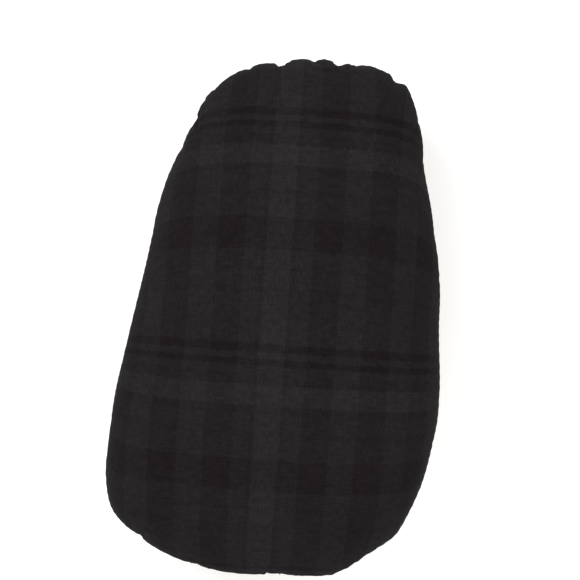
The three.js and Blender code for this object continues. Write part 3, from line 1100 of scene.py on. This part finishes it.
def lining_finish():
    """Close plain calico."""
    finish = Finish("calico_lining", "cloth_flat")
    _, yarn = woven(finish, LINING_YARN_PITCH, PLAIN_WEAVE)
    colour = finish.ramp(finish.noise(LINING_SLUB, ALONG_WEFT), LINING_TONES)
    finish.bump(yarn, LINING_RELIEF)
    finish.surface(Base_Color=colour, Roughness=0.9, Specular_IOR_Level=0.25)
    return finish.material


def sawdust_finish():
    """Packed sawdust: grains in mixed wood tones."""
    finish = Finish("packed_sawdust")
    grains = finish.node("ShaderNodeTexVoronoi", feature="F1")
    finish.feed(grains.inputs["Vector"], finish.place)
    grains.inputs["Scale"].default_value = 1 / GRAIN_SIZE
    shade, _ = finish.split(grains.outputs["Color"])
    colour = finish.tone(finish.ramp(shade, SAWDUST_TONES), **SAWDUST_SHADING)
    finish.bump(finish.math("SUBTRACT", 1, grains.outputs["Distance"]), SAWDUST_RELIEF)
    finish.surface(Base_Color=colour, Roughness=0.95, Specular_IOR_Level=0.2)
    return finish.material


def thread_finish(name, dark, light, gloss):
    """Twisted sewing thread: plies that wind round it, with painted shade in the grooves between them
    and a slight sheen.
    """
    finish = Finish(name, "thread_run")
    around, along = finish.split(finish.place)
    winding = finish.math("MULTIPLY", along, PLY_SLANT)
    ply = finish.ridges(finish.math("ADD", finish.math("MULTIPLY", around, PLIES), winding))
    # Painted shade: the colour is darker in the grooves between the plies than on their tops
    colour = finish.ramp(ply, [(PLY_GROOVE_SHADE_AT, dark), (PLY_LIGHT_AT, light)])
    finish.bump(ply, PLY_RELIEF)
    finish.surface(Base_Color=colour, Roughness=0.55, Specular_IOR_Level=gloss)
    return finish.material


def floor_finish():
    """A white table: seen straight on it is white, and it keeps the shadow on it."""
    finish = Finish("white_table")
    path = finish.node("ShaderNodeLightPath")
    seen = finish.math("MAXIMUM", path.outputs["Is Camera Ray"], path.outputs["Is Glossy Ray"])
    seen = finish.math("MAXIMUM", seen, path.outputs["Is Transmission Ray"])
    colour = finish.tone(FLOOR_COLOUR, **FLOOR_MOTTLE)
    glow = finish.math("MULTIPLY", seen, FLOOR_LIFT)
    finish.surface(Base_Color=colour, Roughness=0.9, Specular_IOR_Level=0)
    finish.surface(Emission_Color=(1, 1, 1, 1), Emission_Strength=glow)
    return finish.material


# Pieces, camera and light

def piece(obj, finishes, slot, node):
    """Dresses a piece in the finish of its slot, and puts it in the place of its node."""
    obj.data.materials.append(finishes[slot])
    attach(obj, "root")
    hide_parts(node)
    return obj


def soft_light(name, position, size, strength):
    """A square lamp that looks at the ham."""
    lamp = bpy.data.lights.new(name, "AREA")
    lamp.size = size
    lamp.energy = strength
    obj = add_object(name, lamp)
    obj.location = position
    aim = Vector((0, 0, SEAM_HEIGHT)) - obj.location
    obj.rotation_euler = aim.to_track_quat("-Z", "Y").to_euler()


def photo_camera():
    """A camera straight above, which puts the outline's middle on its pixel."""
    right = np.array([math.cos(PHOTO_TURN), math.sin(PHOTO_TURN)])
    up = np.array([-right[1], right[0]])
    from_middle = PHOTO_SIZE / 2 - np.array(OUTLINE_MIDDLE_PIXEL)
    place = (from_middle[0] * right - from_middle[1] * up) / PIXELS_PER_METRE - OUTLINE_CENTRE
    camera = bpy.data.cameras.new("photo_camera")
    camera.sensor_width = SENSOR_WIDTH
    camera.lens = SENSOR_WIDTH * CAMERA_DISTANCE * PIXELS_PER_METRE / PHOTO_SIZE
    obj = add_object("photo_camera", camera)
    obj.location = (*place, SEAM_HEIGHT + CAMERA_DISTANCE)
    obj.rotation_euler = (0, 0, PHOTO_TURN)
    bpy.context.scene.camera = obj


def studio():
    """A white table, an even sky and three soft lamps."""
    half = TABLE_SIZE / 2
    corners = [(-half, -half, 0), (half, -half, 0), (half, half, 0), (-half, half, 0)]
    table = add_object("table", new_mesh("table", corners, [[0, 1, 2, 3]]))
    table.data.materials.append(floor_finish())
    world = bpy.data.worlds.new("studio")
    world.use_nodes = True
    background = world.node_tree.nodes["Background"]
    background.inputs["Color"].default_value = (1, 1, 1, 1)
    background.inputs["Strength"].default_value = SKY_STRENGTH
    bpy.context.scene.world = world
    for lamp in LAMPS:
        soft_light(*lamp)


# The forms: the simulated swell carries every layer
coarse = Grid(1, 1)
fine = Grid(STATION_FINENESS, RING_FINENESS)
shift = {}
coarse_shift = {}
outer = {}
for side in SIDES:
    plain = coarse.face(side, 0) + drawn_in(coarse, side)
    swell = simulate_cover(coarse, side, plain)
    shift[side] = stuffed_shift(fine, side, swell)
    coarse_shift[side] = hidden_shift(fine, side, shift[side])
    outer[side] = Layer(fine, side, 0, shift[side] + surface_detail(fine, side))

finishes = {
    "wool_check": wool_finish(),
    "cotton": cotton_finish(),
    "lining": lining_finish(),
    "sawdust": sawdust_finish(),
}
for name, look in THREADS.items():
    finishes[name] = thread_finish(name, **look)

# Covers and linings
for side in SIDES:
    cover = COVER_NAME[side]
    inner = Layer(fine, side, COVER_THICKNESS[side], shift[side])
    inner.thin_out(INNER_DOME_RINGS)
    cloth = sheet(f"{cover}_cover_cloth", side, outer[side], inner)
    piece(cloth, finishes, COVER_SLOT[side], f"{cover}_cover")
    depths = (LINING_DEPTH[side], LINING_DEPTH[side] + LINING_THICKNESS)
    faces = [Layer(coarse, side, depth, coarse_shift[side]) for depth in depths]
    lining = sheet(f"{cover}_side_lining_cloth", side, *faces)
    piece(lining, finishes, "lining", f"{cover}_side_lining")

# Sawdust
halves = [Layer(coarse, side, FILL_DEPTH[side], coarse_shift[side], GROOVE_EDGE) for side in SIDES]
core = closed_body("sawdust_core", *halves, halves[0])
piece(core, finishes, "sawdust", "sawdust_fill")

# Stitches
valley = seam_valley(fine, outer[UPPER], outer[LOWER])
seam = perimeter_stitches(fine, valley)
piece(seam, finishes, "dark_thread", "perimeter_seam_thread")
ladder = closing_stitches(fine, outer[UPPER], outer[LOWER], valley)
piece(ladder, finishes, "dark_thread", "closing_thread")
for side in SIDES:
    for dart in DARTS:
        stitches = dart_stitches(fine, side, outer[side], dart)
        piece(stitches, finishes, DART_THREAD_SLOT[side], f"{COVER_NAME[side]}_dart_thread_{dart.name}")

photo_camera()
studio()
bpy.context.scene.view_settings.view_transform = "Standard"
